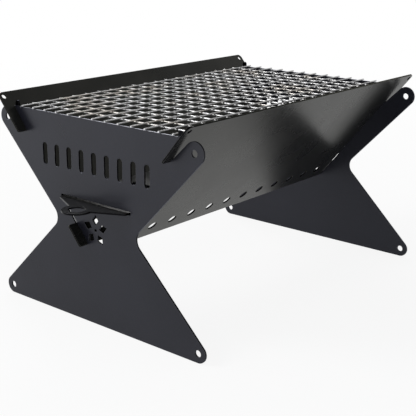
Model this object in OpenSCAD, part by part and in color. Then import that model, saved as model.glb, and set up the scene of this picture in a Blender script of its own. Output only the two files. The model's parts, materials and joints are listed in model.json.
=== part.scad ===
// Slot-together camp fire pit: two hourglass end plates carry two sloping side panels by hooked tabs,
// a slatted fuel floor slides into the trough between them, and a loose wire grill lies on top.
// X runs across the end plates, Y along the trough, Z up. The pull ring of the floor is at the front, -Y.

/* [End plates] */
// Clear length between the inner faces of the two end plates
plate_gap = 429; // [390:1:470]
// Thickness of the end plate sheet
plate_t = 2; // [1.5:0.1:3]
// How far the straight top edge of an end plate lies below the top edges of the side panels
top_drop = 13.5; // [10:0.5:16]
// Distance of each foot hole from the middle of the plate
foot_x = 150; // [135:1:165]
// Radius of the rounded foot corners
foot_r = 10.5; // [8:0.5:14]
// Distance of each top lobe from the top edge of its side panel, down the slope
lobe_drop = 23; // [18:0.5:28]
// Radius of the rounded top lobes
lobe_r = 12.5; // [10:0.5:14]
// Diameter of the holes in the feet and the lobes
corner_hole_d = 8; // [5:0.5:12]
// Half the width of the plate at its waist
waist_x = 63; // [60:1:70]
// Height of the waist
waist_z = 115.5; // [108:0.5:122]
// Radius of the hollow at the waist
waist_r = 14; // [8:0.5:20]

/* [End plate vents] */
// Height of the middle of the round vent
rose_z = 113; // [109:1:116]
// Radius at the outer tips of the kite windows in the round vent
rose_r = 19; // [16:0.5:20]
// Radius at the inner tips of the kite windows
rose_hub_r = 6; // [5:0.5:7]
// Radius at which the kite windows are widest
rose_wide_r = 11.5; // [10:0.5:13]
// Width of the kite windows
rose_window_w = 9.5; // [6:0.5:10]
// Diameter of the hole in the hub
rose_hub_hole_d = 4; // [3:0.5:6]
// Number of windows in the round vent
rose_windows = 5; // [4:1:6]
// Distance of the middle of the upper row of vent slots from the top edge
row_drop = 49; // [40:1:56]
// Height of each slot in the upper row
row_slot_h = 26; // [18:1:32]
// Width of each slot in the upper row
row_slot_w = 8; // [5:0.5:11]
// Distance between neighbouring slots in the upper row
row_pitch = 20; // [16:0.5:24]
// Number of slots in the upper row
row_count = 9; // [5:2:9]

/* [Side panels] */
// Slope of the side panels above the level
panel_angle = 49.8; // [48:0.1:51]
// Length of a side panel up its slope
panel_h = 207; // [200:1:216]
// Thickness of the side panel sheet
panel_t = 2; // [1.5:0.1:3]
// Distance of the lower edge of each panel from the middle, at its outer face
panel_foot_x = 14; // [12:0.5:18]
// Height of the lower edge of each panel, at its outer face
panel_foot_z = 93; // [90:0.5:96]
// Diameter of the air holes along the lower edge
air_hole_d = 12; // [6:0.5:14]
// Distance between neighbouring air holes
air_pitch = 34; // [26:1:44]
// Distance of the air holes from the lower edge
air_rise = 20; // [16:0.5:26]
// Distance of the last air hole from the end of the panel, at the least
air_margin = 26; // [22:1:36]

/* [Hooked tabs] */
// How far the tabs stand out of the end plates
tab_reach = 12; // [9:0.5:16]
// Height of the upper tabs, down from the top edge of the panel
upper_tab_h = 54; // [46:1:60]
// Height of the lower tab, up from the lower edge of the panel
lower_tab_h = 28; // [24:1:34]
// How far a hook reaches down past the end of its slot
hook_drop = 4; // [3:0.5:6]
// Free travel of a panel up its slope before the lower tab meets the end of its slot
lift_travel = 20; // [12:1:22]
// How much wider an upper slot is at its lobe than at its foot
slot_mouth = 3; // [1:0.5:4]
// Radius of the outer top corner of an upper tab
tab_corner_r = 6; // [5:0.5:8]
// Radius of the other outer corners of the tabs
tab_edge_r = 2; // [1:0.5:3]
// Diameter of the hole in the top corner of an upper tab
tab_hole_d = 6; // [4:0.5:8]

/* [Fuel floor] */
// Height of the middle of the floor plate
floor_z = 142.5; // [138:0.5:147]
// Thickness of the floor sheet
floor_t = 2; // [1.5:0.1:3]
// Width of the gap left at each side of the floor in its slot
floor_slot_side = 3; // [1:0.5:4]
// Height of the gap left above the floor in its slot
floor_slot_gap = 1.8; // [1:0.1:3]
// How far the floor runs straight out of the end plate before it tapers
shoulder_l = 5; // [2:0.5:8]
// Distance from the end plate at which the taper ends
tongue_l = 22; // [16:1:23]
// Outer radius of the pull ring
ring_r = 17; // [15:0.5:20]
// Diameter of the finger hole
finger_hole_d = 20; // [18:0.5:24]
// Distance of the finger hole from the end plate
ring_reach = 26.5; // [24:0.5:34]
// Width of the air slots in the floor
slat_gap_w = 9; // [6:0.5:14]
// Distance between neighbouring air slots in the floor
slat_pitch = 36; // [28:1:48]
// Solid edge left beside the air slots
floor_edge = 20; // [14:1:26]

/* [Grill] */
// Diameter of the grill wire
wire_d = 2; // [1.6:0.1:3]
// Distance between neighbouring long wires
long_pitch = 19.5; // [17:0.1:23]
// Distance between neighbouring cross wires
cross_pitch = 21.2; // [18:0.1:26]
// Distance of the first cross wire from the outer face of the front plate
first_cross = 27; // [20:1:34]
// How far the long wires reach past the end plates
wire_overhang = 1; // [0:0.5:10]
// Gap between the long wires and the top edges of the end plates they rest on
grill_rise = 0.3; // [0.2:0.1:1]
// Width of the lugs that stand up beside the outer long wires
lug_w = 6; // [5:0.5:9]
// Distance of the middle of each lug from the inner face of its side panel
lug_inset = 7; // [7:0.5:10]
// Free play of the grill between the lugs, at the least, at each side
lug_play = 2; // [1:0.5:4]
// Height of the lugs above the top edges of the end plates
lug_h = 6.5; // [6:0.5:9]
// Width of the gap between the top corners of an end plate and the side panels
corner_gap = 1.5; // [1:0.5:2.5]

/* [Fits] */
// Clearance beside a sheet in its slot
slot_clear = 0.3; // [0.2:0.05:0.6]
// Clearance of a piece that rests on the sloping panels
rest_clear = 0.2; // [0.1:0.05:0.4]
// Gap between crossing wires at their welds
weld_gap = 0.05; // [0.02:0.01:0.1]

/* [Hidden] */
$fn = 64;
sheet_colour = "#3d3d43";
panel_colour = "#4a4a48";
floor_colour = "#2c2c2e";
wire_colour = "#b9b6b0";
// How far an outline or a cut runs past the edge that it joins or opens
past = 1;
// How far a straight edge runs inside the arc it meets, so that the two cross cleanly
tuck = 0.02;

// The sloping panel, seen along the trough: unit steps up the slope and out of the panel
slope_dir = [cos(panel_angle), sin(panel_angle)];
out_dir = [sin(panel_angle), -cos(panel_angle)];
panel_foot = [panel_foot_x, panel_foot_z];
// A point at a distance up the slope and a depth below the outer face
function on_panel(up, out = 0) = panel_foot + up * slope_dir + out * out_dir;
// Half the clear width between the inner faces of the panels at a height
function trough_half(z) = panel_foot_x + (z - panel_foot_z) / tan(panel_angle) - panel_t / sin(panel_angle);

// Lengths along the trough, from the middle between the plates
inner_y = plate_gap / 2;
outer_y = inner_y + plate_t;
tab_end_y = outer_y + tab_reach;
pull_end_y = outer_y + ring_reach + ring_r;
// The plates sit back from the origin, which is the middle of the whole length
mid_y = (pull_end_y - tab_end_y) / 2;

// Slots for the panels, in distances up the slope
upper_tab_foot = panel_h - upper_tab_h;
upper_slot_foot = upper_tab_foot + hook_drop - rest_clear;
lower_slot_foot = hook_drop - rest_clear;
lower_slot_top = lower_tab_h + lift_travel;
slot_w = panel_t + 2 * slot_clear;

// Heights that follow the top edges of the panels
plate_top = on_panel(panel_h)[1] - top_drop;
row_z = plate_top - row_drop;

// Grill levels and counts. The lugs stand outside the outer long wires, so the grill can't slide sideways
long_z = plate_top + grill_rise + wire_d / 2;
cross_z = long_z - wire_d - weld_gap;
cross_half = trough_half(cross_z - wire_d / 2) - rest_clear;
lug_x = trough_half(plate_top) - lug_inset;
long_side = floor((lug_x - lug_w / 2 - lug_play - wire_d / 2) / long_pitch);
long_count = 2 * long_side + 1;
cross_room = plate_gap + plate_t - first_cross - wire_d;
cross_count = floor(cross_room / cross_pitch) + 1;

// Floor plate
floor_foot_z = floor_z - floor_t / 2;
floor_half = trough_half(floor_foot_z) - rest_clear;
floor_slot_half = floor_half + floor_slot_side;
floor_slot_h = floor_t + floor_slot_gap + slot_clear;
ring_y = -outer_y - ring_reach;
slat_half = floor_half - floor_edge;
slat_count = floor((plate_gap - 2 * floor_edge) / slat_pitch);

// Side panel air holes
air_count = floor((plate_gap - 2 * air_margin) / air_pitch) + 1;

// The outer wall of an upper slot leans away from the panel, from the slot's foot to its lobe
slot_corner = on_panel(upper_slot_foot, slot_clear);
lobe_c = on_panel(panel_h - lobe_drop, slot_clear + slot_mouth + lobe_r);

LONG_WIRES = [for (i = [1 : long_count]) str("long_wire_", i)];
CROSS_WIRES = [for (i = [1 : cross_count]) str("cross_wire_", i)];
SHEETS = ["front_end_plate", "rear_end_plate", "left_side_panel", "right_side_panel", "fuel_floor"];

// Where a straight edge touches two circles that lie on opposite sides of it, or a circle and a point
function bearing(from, to) = atan2(to[1] - from[1], to[0] - from[0]);
function touch_angle(a, ra, b, rb, turn) = bearing(a, b) + turn * acos((ra + rb) / norm(b - a));
function on_circle(c, r, angle) = c + r * [cos(angle), sin(angle)];

foot_c = [foot_x, foot_r];
waist_c = [waist_x + waist_r, waist_z];
foot_angle = touch_angle(foot_c, foot_r, waist_c, waist_r, -1);
lobe_angle = touch_angle(lobe_c, lobe_r, waist_c, waist_r, 1);
mouth_angle = touch_angle(lobe_c, lobe_r, slot_corner, 0, -1);

// The right half of the end plate's edge, from the floor round to the top, with the open slot
half_edge = [
    [foot_x, 0],
    on_circle(foot_c, foot_r - tuck, foot_angle),
    on_circle(waist_c, waist_r - tuck, foot_angle + 180),
    on_circle(waist_c, waist_r - tuck, lobe_angle + 180),
    on_circle(lobe_c, lobe_r - tuck, lobe_angle),
    on_circle(lobe_c, lobe_r - tuck, mouth_angle),
    slot_corner,
    on_panel(upper_slot_foot, -panel_t - slot_clear),
    [trough_half(plate_top) - corner_gap, plate_top]
];
function other_side(edge) = [for (i = [len(edge) - 1 : -1 : 0]) [-edge[i][0], edge[i][1]]];

module both_sides() {
    children();
    mirror([1, 0]) children();
}

module at_plates() {
    translate([0, mid_y, 0]) children();
}

// A slot with round ends, along X, centred
module round_slot(length, width) {
    square([length - width, width], center = true);
    for (side = [-1, 1])
        translate([side * (length - width) / 2, 0]) circle(d = width);
}

module lug() {
    tip_r = lug_w / 2;
    straight_h = lug_h - tip_r;
    translate([lug_x - tip_r, plate_top - past]) square([lug_w, straight_h + past]);
    translate([lug_x, plate_top + straight_h]) circle(r = tip_r);
}

module rose_vent() {
    half_w = rose_window_w / 2;
    circle(d = rose_hub_hole_d);
    for (i = [0 : rose_windows - 1])
        rotate(90 + i * 360 / rose_windows)
            polygon([[rose_hub_r, 0], [rose_wide_r, -half_w], [rose_r, 0], [rose_wide_r, half_w]]);
}

// The closed slot for a lower tab, on the left as seen from outside the front plate
module lower_slot() {
    slot_l = lower_slot_top - lower_slot_foot;
    mirror([1, 0])
        translate(on_panel(lower_slot_foot, slot_clear))
            rotate(panel_angle) square([slot_l, slot_w]);
}

module end_plate_face() {
    difference() {
        union() {
            polygon(concat(half_edge, other_side(half_edge)));
            both_sides() {
                translate(foot_c) circle(r = foot_r);
                translate(lobe_c) circle(r = lobe_r);
                lug();
            }
        }
        both_sides() {
            translate(waist_c) circle(r = waist_r);
            translate(foot_c) circle(d = corner_hole_d);
            translate(lobe_c) circle(d = corner_hole_d);
        }
        lower_slot();
        translate([-floor_slot_half, floor_foot_z - slot_clear])
            square([2 * floor_slot_half, floor_slot_h]);
        translate([0, rose_z]) rose_vent();
        for (i = [0 : row_count - 1])
            translate([(i - (row_count - 1) / 2) * row_pitch, row_z])
                rotate(90) round_slot(row_slot_h, row_slot_w);
    }
}

// The front plate stands with its outer face towards -Y
module end_plate() {
    translate([0, -inner_y, 0])
        rotate([90, 0, 0]) linear_extrude(plate_t) end_plate_face();
}

// A tab sticking out to +X from the panel's end, with its hook notch at the lower edge
module tab_outline(low, high, top_r) {
    root_x = inner_y - slot_clear;
    notch_w = plate_t + 2 * slot_clear;
    difference() {
        union() {
            translate([root_x - past, low]) square([tab_end_y - root_x + past - top_r, high - low]);
            translate([root_x, low + tab_edge_r])
                square([tab_end_y - root_x, high - low - tab_edge_r - top_r]);
            translate([root_x, low]) square([tab_end_y - root_x - tab_edge_r, high - low - top_r]);
            translate([tab_end_y - tab_edge_r, low + tab_edge_r]) circle(r = tab_edge_r);
            translate([tab_end_y - top_r, high - top_r]) circle(r = top_r);
        }
        translate([root_x, low - past]) square([notch_w, hook_drop + past]);
    }
}

module side_panel_face() {
    difference() {
        union() {
            translate([-inner_y + slot_clear, 0]) square([plate_gap - 2 * slot_clear, panel_h]);
            both_sides() tab_outline(upper_tab_foot, panel_h, tab_corner_r);
            tab_outline(0, lower_tab_h, tab_edge_r);
        }
        both_sides()
            translate([tab_end_y - tab_corner_r, panel_h - tab_corner_r]) circle(d = tab_hole_d);
        for (i = [0 : air_count - 1])
            translate([(i - (air_count - 1) / 2) * air_pitch, air_rise]) circle(d = air_hole_d);
    }
}

// The right panel, with its inner face on the slope and its lower tab at the rear
module side_panel() {
    inner_foot = on_panel(0, -panel_t);
    translate([inner_foot[0], 0, inner_foot[1]])
        rotate([0, -panel_angle, 0])
            rotate([180, 0, 90]) linear_extrude(panel_t) side_panel_face();
}

module fuel_floor_face() {
    difference() {
        union() {
            polygon([
                [-floor_half, inner_y - slot_clear],
                [-floor_half, -outer_y - shoulder_l],
                [-ring_r, -outer_y - tongue_l],
                [-ring_r, ring_y],
                [ring_r, ring_y],
                [ring_r, -outer_y - tongue_l],
                [floor_half, -outer_y - shoulder_l],
                [floor_half, inner_y - slot_clear]
            ]);
            translate([0, ring_y]) circle(r = ring_r);
        }
        translate([0, ring_y]) circle(d = finger_hole_d);
        for (i = [0 : slat_count - 1])
            translate([0, (i - (slat_count - 1) / 2) * slat_pitch])
                round_slot(2 * slat_half, slat_gap_w);
    }
}

module front_end_plate() {
    color(sheet_colour) at_plates() end_plate();
}

module rear_end_plate() {
    color(sheet_colour) at_plates() rotate([0, 0, 180]) end_plate();
}

module left_side_panel() {
    color(panel_colour) at_plates() rotate([0, 0, 180]) side_panel();
}

module right_side_panel() {
    color(panel_colour) at_plates() side_panel();
}

module fuel_floor() {
    color(floor_colour) at_plates()
        translate([0, 0, floor_foot_z]) linear_extrude(floor_t) fuel_floor_face();
}

module long_wire(index) {
    length = 2 * (outer_y + wire_overhang);
    color(wire_colour) at_plates()
        translate([(index - 1 - long_side) * long_pitch, -length / 2, long_z])
            rotate([-90, 0, 0]) cylinder(d = wire_d, h = length);
}

module cross_wire(index) {
    color(wire_colour) at_plates()
        translate([-cross_half, -outer_y + first_cross + (index - 1) * cross_pitch, cross_z])
            rotate([0, 90, 0]) cylinder(d = wire_d, h = 2 * cross_half);
}

front_end_plate();
rear_end_plate();
left_side_panel();
right_side_panel();
fuel_floor();
for (i = [1 : long_count])
    long_wire(i);
for (i = [1 : cross_count])
    cross_wire(i);
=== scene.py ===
import json
import math
import random
from dataclasses import dataclass

import bmesh
import bpy
from mathutils import Matrix, Vector


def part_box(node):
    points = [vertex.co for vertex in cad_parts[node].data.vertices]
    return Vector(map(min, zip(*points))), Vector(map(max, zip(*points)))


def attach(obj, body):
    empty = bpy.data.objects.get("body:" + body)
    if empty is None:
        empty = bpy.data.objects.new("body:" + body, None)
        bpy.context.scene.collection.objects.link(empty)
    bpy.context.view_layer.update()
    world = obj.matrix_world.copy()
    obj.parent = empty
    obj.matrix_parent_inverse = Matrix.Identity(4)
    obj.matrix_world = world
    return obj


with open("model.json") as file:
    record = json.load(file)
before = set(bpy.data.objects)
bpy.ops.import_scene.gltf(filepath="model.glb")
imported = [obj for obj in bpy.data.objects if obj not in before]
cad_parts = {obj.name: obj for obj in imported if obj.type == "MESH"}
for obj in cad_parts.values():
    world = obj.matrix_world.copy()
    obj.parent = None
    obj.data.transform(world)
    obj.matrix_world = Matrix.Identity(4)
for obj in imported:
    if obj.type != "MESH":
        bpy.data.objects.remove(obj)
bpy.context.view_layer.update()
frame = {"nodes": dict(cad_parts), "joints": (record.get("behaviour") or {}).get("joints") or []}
nodes = frame["nodes"]


def colour(red, green, blue):
    return (red, green, blue, 1.0)


def grey(value):
    return colour(value, value, value)


WHITE = grey(1.0)


# The node tree of a material or of the world, with short names for the nodes used here
class Tree:
    def __init__(self, owner, output):
        owner.use_nodes = True
        self.owner = owner
        self.tree = owner.node_tree
        self.tree.nodes.clear()
        self.out = self.tree.nodes.new(output)

    def node(self, kind, inputs=None, **settings):
        made = self.tree.nodes.new(kind)
        for key, value in settings.items():
            setattr(made, key, value)
        for key, value in (inputs or {}).items():
            self.put(made.inputs[key], value)
        return made

    def put(self, socket, value):
        if isinstance(value, bpy.types.NodeSocket):
            self.tree.links.new(value, socket)
        else:
            socket.default_value = value

    def coords(self, output):
        return self.node("ShaderNodeTexCoord").outputs[output]

    def axis(self, vector, letter):
        return self.node("ShaderNodeSeparateXYZ", {0: vector}).outputs[letter]

    def stretch(self, where, by):
        return self.node("ShaderNodeMapping", {"Vector": where, "Scale": by}).outputs["Vector"]

    def noise(self, where, scale, detail=3.0, rough=0.5):
        inputs = {"Vector": where, "Scale": scale, "Detail": detail, "Roughness": rough}
        return self.node("ShaderNodeTexNoise", inputs).outputs["Fac"]

    def span(self, value, over, to=(0.0, 1.0), curve="LINEAR"):
        inputs = {
            "Value": value, "From Min": over[0], "From Max": over[1], "To Min": to[0], "To Max": to[1],
        }
        made = self.node("ShaderNodeMapRange", inputs, clamp=True, interpolation_type=curve)
        return made.outputs["Result"]

    def math(self, operation, a, b=0.0):
        return self.node("ShaderNodeMath", {0: a, 1: b}, operation=operation, use_clamp=True).outputs[0]

    def sum(self, a, b):
        return self.math("ADD", a, b)

    def product(self, a, b):
        return self.math("MULTIPLY", a, b)

    def larger(self, a, b):
        return self.math("MAXIMUM", a, b)

    def mix(self, factor, a, b):
        made = self.node("ShaderNodeMix", data_type="RGBA")
        for index, value in ((0, factor), (6, a), (7, b)):
            self.put(made.inputs[index], value)
        return made.outputs[2]

    def bump(self, height, strength, distance, normal):
        inputs = {"Height": height, "Strength": strength, "Distance": distance, "Normal": normal}
        return self.node("ShaderNodeBump", inputs).outputs["Normal"]

    def bevel(self, radius):
        return self.node("ShaderNodeBevel", {"Radius": radius}, samples=6).outputs["Normal"]

    # The edges, found where the bevelled normal turns away from the flat one
    def rim(self, rounded):
        flat = self.node("ShaderNodeNewGeometry").outputs["True Normal"]
        turn = self.node("ShaderNodeVectorMath", {0: rounded, 1: flat}, operation="DOT_PRODUCT")
        return self.span(turn.outputs["Value"], over=(0.97, 0.72))

    # Rays from the camera, and rays seen in gloss or through glass
    def rays(self):
        path = self.node("ShaderNodeLightPath").outputs
        return path["Is Camera Ray"], self.larger(path["Is Glossy Ray"], path["Is Transmission Ray"])

    def surface(self, shader):
        self.tree.links.new(shader.outputs[0], self.out.inputs["Surface"])
        return self.owner

    def principled(self, **inputs):
        named = {key.replace("_", " "): value for key, value in inputs.items()}
        return self.surface(self.node("ShaderNodeBsdfPrincipled", named))


def material_tree(name):
    return Tree(bpy.data.materials.new(name), "ShaderNodeOutputMaterial")


# What tells one powder coat from another
@dataclass
class Coat:
    name: str
    dark: tuple
    light: tuple
    roughness: float
    # How far the edges are worn to bare steel, together with a painted highlight along them
    edge_wear_and_highlight: float
    # The axis that the sheet's faces look along, and the least part of their normal that lies on it
    face_axis: str
    face_lean: float = 0.5
    # How much soot, grain, waviness and rubbing it shows
    soot: float = 0.0
    grain: float = 0.35
    peel: float = 0.10
    rubbed: float = 1.0
    # Height of a straight top edge, bare steel from wear with a painted highlight, with lugs standing on
    # it that are painted black as shade
    top_edge: float | None = None
    gloss_tint: tuple = WHITE


# Colours in and on the powder coats
SPECK_TINT = colour(0.030, 0.030, 0.034)
RUB_TINT = colour(0.028, 0.028, 0.030)
SOOT_TINT = colour(0.017, 0.0150, 0.0132)
# Painted shade: cut faces and lugs are coloured this near black
PAINTED_SHADE_BLACK = colour(0.008, 0.008, 0.009)
# Bare steel on worn edges, also used as a painted highlight along all edges and top edges
BARE_STEEL_AND_HIGHLIGHT = colour(0.42, 0.42, 0.44)

# Rub marks run level, so their pattern is squeezed in height; they lighten and roughen the coat a little
RUB_STRETCH = (60.0, 60.0, 420.0)
RUB_SHARE, RUB_ROUGHNESS = 0.22, 0.10

# How much the specks show, how far the roughness strays, how much painted highlight an unchipped edge
# gets, and how metallic bare steel and the painted highlight are
SPECK_SHARE = 0.30
ROUGHNESS_STRAY = 0.03
UNCHIPPED_HIGHLIGHT_SHARE = 0.3
BARE_AND_HIGHLIGHT_METALLIC = 0.9

# Depths of the coat's waviness and grain, and the radius of its edges
WAVE_DEPTH = 0.0004
GRAIN_DEPTH = 0.00012
EDGE_RADIUS = 0.0006

# The trough starts at the inner face of the front end plate, and there the soot sets in
TROUGH_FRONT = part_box("front_end_plate")[1][1]
SOOT_FADE = 0.03
SOOT_ROUGHNESS = 0.30

# Half the blur between faces and cut faces
LEAN_BLUR = 0.02

# Slack below a top edge, and the heights above it at which the lugs start to be and are fully painted
# black as shade
EDGE_SLACK = 0.0005
LUG_START, LUG_FULL = 0.0004, 0.0010


# Soot in patches, on the faces that look up inside the trough
def soot_cover(t, where, normal, amount):
    patches = t.noise(where, scale=22.0, detail=6.0, rough=0.62)
    upward = t.span(t.axis(normal, "Z"), over=(0.2, 0.5))
    behind = t.span(t.axis(where, "Y"), over=(TROUGH_FRONT, TROUGH_FRONT + SOOT_FADE))
    cover = t.product(t.span(patches, over=(0.40, 0.70), to=(0.0, amount)), upward)
    return t.product(cover, behind)


# Where the steel is bright, on worn edges and as a painted highlight along all edges and top edges, and
# where painted shade makes it black, on cut faces and lugs
def edge_wear_highlight_and_shade(t, kind, where, normal, rounded):
    chips = t.noise(where, scale=120.0, detail=5.0, rough=0.7)
    # Chipped edges show real wear; every edge also gets a painted highlight of at least the unchipped
    # share
    wear_and_highlight_share = t.span(chips, over=(0.46, 0.66), to=(UNCHIPPED_HIGHLIGHT_SHARE * kind.edge_wear_and_highlight, kind.edge_wear_and_highlight))
    worn_and_highlit = t.product(t.rim(rounded), wear_and_highlight_share)
    lean = t.math("ABSOLUTE", t.axis(normal, kind.face_axis))
    # Cut faces are painted black as shade
    painted_black_shade = t.span(lean, over=(kind.face_lean - LEAN_BLUR, kind.face_lean + LEAN_BLUR), to=(1.0, 0.0))
    if kind.top_edge:
        height = t.axis(where, "Z")
        # The straight top edge is bare from wear and carries a painted highlight
        upward = t.span(t.axis(normal, "Z"), over=(0.80, 0.95))
        top_wear_and_highlight = t.product(upward, t.span(chips, over=(0.30, 0.62), to=(0.45, 0.95)))
        top_wear_and_highlight = t.product(top_wear_and_highlight, t.math("GREATER_THAN", height, kind.top_edge - EDGE_SLACK))
        # Lugs above the top edge are painted black as shade
        lug = t.span(height, over=(kind.top_edge + LUG_START, kind.top_edge + LUG_FULL))
        worn_and_highlit = t.product(t.larger(worn_and_highlit, top_wear_and_highlight), t.math("SUBTRACT", 1.0, lug))
        painted_black_shade = t.larger(painted_black_shade, lug)
    return worn_and_highlit, painted_black_shade


# Powder coat on sheet steel: broad tone, fine grain, soft waviness, faint rub marks, soot, bare steel
# with a painted edge highlight, and black painted shade
def coat(kind):
    t = material_tree(kind.name)
    where = t.coords("Object")
    normal = t.coords("Normal")
    cloud = t.noise(where, scale=14.0, detail=4.0, rough=0.55)
    speck = t.noise(where, scale=900.0, detail=2.0, rough=0.6)
    wave = t.noise(where, scale=260.0, detail=2.0)
    rub = t.noise(t.stretch(where, RUB_STRETCH), scale=1.0, detail=5.0, rough=0.65)
    tint = t.mix(t.span(cloud, over=(0.32, 0.68)), kind.dark, kind.light)
    tint = t.mix(t.span(speck, over=(0.56, 0.74), to=(0.0, SPECK_SHARE)), tint, SPECK_TINT)
    tint = t.mix(t.span(rub, over=(0.64, 0.80), to=(0.0, RUB_SHARE * kind.rubbed)), tint, RUB_TINT)
    smooth, dull = kind.roughness - ROUGHNESS_STRAY, kind.roughness + ROUGHNESS_STRAY
    rough = t.span(cloud, over=(0.30, 0.70), to=(smooth, dull))
    rough = t.sum(rough, t.span(rub, over=(0.58, 0.80), to=(0.0, RUB_ROUGHNESS * kind.rubbed)))
    if kind.soot:
        cover = soot_cover(t, where, normal, kind.soot)
        tint = t.mix(cover, tint, SOOT_TINT)
        rough = t.sum(rough, t.product(cover, SOOT_ROUGHNESS))
    rounded = t.bevel(EDGE_RADIUS)
    worn_and_highlit, painted_black_shade = edge_wear_highlight_and_shade(t, kind, where, normal, rounded)
    # Painted shade: cut faces and lugs turn near black
    tint = t.mix(painted_black_shade, tint, PAINTED_SHADE_BLACK)
    # Bare steel from wear, and a painted highlight on edges and top edges
    tint = t.mix(worn_and_highlit, tint, BARE_STEEL_AND_HIGHLIGHT)
    metal = t.larger(t.product(worn_and_highlit, BARE_AND_HIGHLIGHT_METALLIC), painted_black_shade)
    skin = t.bump(wave, strength=kind.peel, distance=WAVE_DEPTH, normal=rounded)
    skin = t.bump(speck, strength=kind.grain, distance=GRAIN_DEPTH, normal=skin)
    return t.principled(
        Base_Color=tint, Metallic=metal, Roughness=rough, Normal=skin,
        IOR=1.5, Specular_Tint=kind.gloss_tint,
    )


# Colours of the grill's wires: drawn steel, heat tints, mill scale and sheared ends, whose brightness is
# partly a painted glint
WIRE_DARK = colour(0.42, 0.42, 0.425)
WIRE_LIGHT = grey(0.68)
HEAT_STRAW = colour(0.60, 0.50, 0.36)
HEAT_BLUE = colour(0.34, 0.35, 0.42)
MILL_SCALE = colour(0.10, 0.09, 0.085)
SHEARED_END_AND_GLINT = colour(0.82, 0.82, 0.83)

# Drawing lines are long along a wire and fine across it
LINES_ALONG, LINES_ACROSS = 30.0, 2200.0
LINE_DEPTH = 0.00008
WIRE_EDGE_RADIUS = 0.0003


# Drawn steel wire: lines along its length, heat tint in patches, scale in spots, bright sheared ends
# that are partly fresh steel and partly a painted glint
def wire(name, along):
    t = material_tree(name)
    where = t.coords("Object")
    drawn = tuple(LINES_ALONG if letter == along else LINES_ACROSS for letter in "XYZ")
    lines = t.noise(t.stretch(where, drawn), scale=1.0, rough=0.6)
    heat = t.noise(where, scale=16.0, detail=4.0, rough=0.6)
    scale = t.noise(where, scale=340.0, rough=0.6)
    tint = t.mix(t.span(lines, over=(0.35, 0.65)), WIRE_DARK, WIRE_LIGHT)
    tint = t.mix(t.span(heat, over=(0.50, 0.66), to=(0.0, 0.42)), tint, HEAT_STRAW)
    tint = t.mix(t.span(heat, over=(0.62, 0.74), to=(0.0, 0.45)), tint, HEAT_BLUE)
    tint = t.mix(t.span(scale, over=(0.62, 0.76), to=(0.0, 0.40)), tint, MILL_SCALE)
    # Sheared ends are brighter: partly fresh cut steel, partly a painted glint
    end = t.math("ABSOLUTE", t.axis(t.coords("Normal"), along))
    tint = t.mix(t.span(end, over=(0.90, 0.97)), tint, SHEARED_END_AND_GLINT)
    rough = t.span(lines, over=(0.30, 0.70), to=(0.28, 0.40))
    rough = t.sum(rough, t.span(scale, over=(0.60, 0.76), to=(0.0, 0.25)))
    skin = t.bump(lines, strength=0.25, distance=LINE_DEPTH, normal=t.bevel(WIRE_EDGE_RADIUS))
    return t.principled(Base_Color=tint, Roughness=rough, Normal=skin, Metallic=1.0)


# Colours of the weld beads, and the depth of their mottling
WELD_DARK = colour(0.16, 0.15, 0.14)
WELD_LIGHT = colour(0.34, 0.32, 0.29)
MOTTLE_DEPTH = 0.0002


# Weld beads: rough mottled steel with a straw tint
def weld():
    t = material_tree("weld_bead")
    mottle = t.noise(t.coords("Object"), scale=700.0, rough=0.6)
    tint = t.mix(t.span(mottle, over=(0.35, 0.65)), WELD_DARK, WELD_LIGHT)
    rough = t.span(mottle, over=(0.3, 0.7), to=(0.32, 0.55))
    normal = t.node("ShaderNodeNewGeometry").outputs["Normal"]
    skin = t.bump(mottle, strength=0.5, distance=MOTTLE_DEPTH, normal=normal)
    return t.principled(Base_Color=tint, Roughness=rough, Normal=skin, Metallic=1.0)


# The grill's long wires rest this far above the straight top edges of the end plates
GRILL_RISE = 0.0003
plate_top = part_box("long_wire_1")[0][2] - GRILL_RISE

# A panel's faces and its cut edges part midway between the two components of its slope
slope = next(joint["axis"] for joint in frame["joints"] if joint["name"] == "left_panel_lift")
panel_lean = (abs(slope[0]) + abs(slope[2])) / 2

# The finish of each kind of node, by a part of its name
finishes = {
    "end_plate": coat(Coat(
        name="end_plate_coat", dark=colour(0.0052, 0.0054, 0.0092), light=colour(0.0085, 0.0088, 0.0140),
        roughness=0.30, edge_wear_and_highlight=0.50, face_axis="Y", top_edge=plate_top, gloss_tint=colour(0.88, 0.90, 1.0),
    )),
    "side_panel": coat(Coat(
        name="panel_coat", dark=colour(0.0056, 0.0057, 0.0053), light=colour(0.0072, 0.0073, 0.0068),
        roughness=0.28, edge_wear_and_highlight=0.50, face_axis="X", face_lean=panel_lean, soot=0.35, grain=0.14, peel=0.03,
        rubbed=0.04, gloss_tint=colour(1.0, 1.0, 0.88),
    )),
    "fuel_floor": coat(Coat(
        name="floor_coat", dark=colour(0.0026, 0.0025, 0.0023), light=colour(0.0042, 0.0040, 0.0036),
        roughness=0.29, edge_wear_and_highlight=0.20, face_axis="Z", soot=0.60,
    )),
    "long_wire": wire("grill_wire_long", "Y"),
    "cross_wire": wire("grill_wire_cross", "X"),
}
for name, piece in nodes.items():
    for place in piece.material_slots:
        place.material = next(made for part, made in finishes.items() if part in name)


def add_mesh(name, mesh, finish):
    data = bpy.data.meshes.new(name)
    mesh.to_mesh(data)
    mesh.free()
    data.materials.append(finish)
    piece = bpy.data.objects.new(name, data)
    bpy.context.scene.collection.objects.link(piece)
    return piece


# A bead's half length, half width and half height in radii of the wire, and how far its size strays
BEAD_LONG, BEAD_WIDE, BEAD_HIGH = 1.02, 0.94, 0.62
BEAD_STRAY = 0.08
BEAD_SEED = 41


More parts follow.
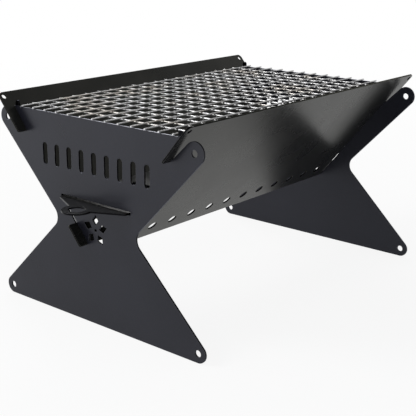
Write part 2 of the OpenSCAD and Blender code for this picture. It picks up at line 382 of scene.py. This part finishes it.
# Resistance weld beads where the grill wires cross
def beads():
    rng = random.Random(BEAD_SEED)
    mesh = bmesh.new()
    longs = [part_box(name) for name in nodes if name.startswith("long_wire")]
    crosses = [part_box(name) for name in nodes if name.startswith("cross_wire")]
    for low, high in longs:
        x = (low[0] + high[0]) / 2
        radius = (high[0] - low[0]) / 2
        for cross_low, cross_high in crosses:
            y = (cross_low[1] + cross_high[1]) / 2
            z = (low[2] + cross_high[2]) / 2
            turn = rng.uniform(0, math.pi)
            spread = radius * rng.uniform(1 - BEAD_STRAY, 1 + BEAD_STRAY)
            place = (
                Matrix.Translation((x, y, z))
                @ Matrix.Rotation(turn, 4, "Z")
                @ Matrix.Diagonal((BEAD_LONG * spread, BEAD_WIDE * spread, BEAD_HIGH * radius, 1.0))
            )
            bmesh.ops.create_icosphere(mesh, subdivisions=2, radius=1.0, matrix=place)
    for face in mesh.faces:
        face.smooth = True
    piece = add_mesh("grill_weld_beads", mesh, weld())
    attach(piece, "grill")


beads()

# The studio floor: its size, and how far it lies under the feet
FLOOR_RADIUS = 6.0
FLOOR_DROP = 0.0002

# White covers this share of it near the object and all of it far away, and a part of that in gloss
FADE_NEAR, FADE_FAR = 0.5, 2.0
FADE_SHARE = 0.88
FLOOR_GLOSS = 0.85

# In gloss that white is also dimmer near the object, as painted shade, and full from the second distance
# on
DIM_NEAR, DIM_FAR = 0.40, 1.00
DIM_LEVEL = 0.64


# Pale floor with the object's shadow, mixed with the white of the background, which in gloss carries
# painted shade near the object
def ground():
    t = material_tree("studio_floor")
    where = t.coords("Object")
    far = t.node("ShaderNodeVectorMath", {0: where}, operation="LENGTH").outputs["Value"]
    tint = t.mix(t.noise(where, scale=60.0, detail=2.0), grey(0.80), grey(0.84))
    paint = t.node("ShaderNodeBsdfDiffuse", {"Color": tint})
    camera_ray, gloss_ray = t.rays()
    # Painted shade: in gloss the floor's white is dimmer near the object
    level = t.larger(camera_ray, t.span(far, over=(DIM_NEAR, DIM_FAR), to=(DIM_LEVEL, 1.0)))
    white = t.node("ShaderNodeEmission", {"Color": WHITE, "Strength": level})
    fade = t.span(far, over=(FADE_NEAR, FADE_FAR), to=(FADE_SHARE, 1.0))
    share = t.product(t.larger(camera_ray, t.product(gloss_ray, FLOOR_GLOSS)), fade)
    both = t.node("ShaderNodeMixShader", {0: share, 1: paint.outputs[0], 2: white.outputs[0]})
    mesh = bmesh.new()
    bmesh.ops.create_circle(mesh, cap_ends=True, segments=96, radius=FLOOR_RADIUS)
    piece = add_mesh("studio_floor", mesh, t.surface(both))
    piece.location = (0.0, 0.0, -FLOOR_DROP)


ground()

# In gloss the dome darkens from its white sides to a dim ceiling, between these heights of a unit ray
CEILING_START, CEILING_FULL = 0.28, 0.62
CEILING_LEVEL = 0.22

# The light that the dome itself gives
DOME_TINT = colour(0.96, 0.98, 1.0)
DOME_LIGHT = 0.55


# White background for the camera, gloss and glass, and a softer dome for light
def dome():
    t = Tree(bpy.data.worlds.new("studio"), "ShaderNodeOutputWorld")
    camera_ray, gloss_ray = t.rays()
    height = t.axis(t.coords("Generated"), "Z")
    ceiling = t.span(
        height, over=(CEILING_START, CEILING_FULL), to=(1.0, CEILING_LEVEL), curve="SMOOTHSTEP",
    )
    shown = t.node("ShaderNodeBackground", {"Color": WHITE, "Strength": t.larger(ceiling, camera_ray)})
    light = t.node("ShaderNodeBackground", {"Color": DOME_TINT, "Strength": DOME_LIGHT})
    seen = t.larger(gloss_ray, camera_ray)
    both = t.node("ShaderNodeMixShader", {0: seen, 1: light.outputs[0], 2: shown.outputs[0]})
    bpy.context.scene.world = t.surface(both)


dome()


# A soft round lamp
def lamp(name, place, aim, width, power):
    data = bpy.data.lights.new(name, "AREA")
    data.shape = "DISK"
    data.size = width
    data.energy = power
    piece = bpy.data.objects.new(name, data)
    piece.location = place
    piece.rotation_euler = (Vector(aim) - Vector(place)).to_track_quat("-Z", "Y").to_euler()
    bpy.context.scene.collection.objects.link(piece)


lamp("key", place=(-1.9, -1.9, 2.3), aim=(0.0, 0.0, 0.12), width=1.3, power=48.0)
lamp("fill", place=(2.4, -1.2, 1.5), aim=(0.0, 0.0, 0.12), width=2.4, power=14.0)
lamp("back", place=(-1.9, 1.6, 2.0), aim=(0.0, 0.0, 0.2), width=1.2, power=16.0)

# The photograph's camera: angles in degrees, place in metres, lens and shift in pixels of its frame
AZIMUTH, DOWN, ROLL = 39.814, 14.761, 0.294
CAMERA_PLACE = (0.717403, -0.866551, 0.436464)
FRAME_PIXELS = 416.0
FOCAL_PIXELS = 919.0
SHIFT_PIXELS = -36.0
SENSOR_WIDTH = 36.0


# Camera at the photograph's viewing angle
def camera():
    azimuth, down, roll = (math.radians(angle) for angle in (AZIMUTH, DOWN, ROLL))
    across = math.cos(down)
    ahead = Vector((-math.sin(azimuth) * across, math.cos(azimuth) * across, -math.sin(down)))
    level = ahead.cross(Vector((0.0, 0.0, 1.0))).normalized()
    above = level.cross(ahead)
    right = level * math.cos(roll) + above * math.sin(roll)
    up = above * math.cos(roll) - level * math.sin(roll)
    data = bpy.data.cameras.new("camera")
    data.sensor_fit = "HORIZONTAL"
    data.sensor_width = SENSOR_WIDTH
    data.lens = FOCAL_PIXELS / FRAME_PIXELS * SENSOR_WIDTH
    data.shift_y = SHIFT_PIXELS / FRAME_PIXELS
    data.clip_end = 50.0
    piece = bpy.data.objects.new("camera", data)
    turn = Matrix((right, up, -ahead)).transposed().to_4x4()
    piece.matrix_world = Matrix.Translation(CAMERA_PLACE) @ turn
    bpy.context.scene.collection.objects.link(piece)
    bpy.context.scene.camera = piece


camera()
bpy.context.scene.view_settings.view_transform = "Standard"
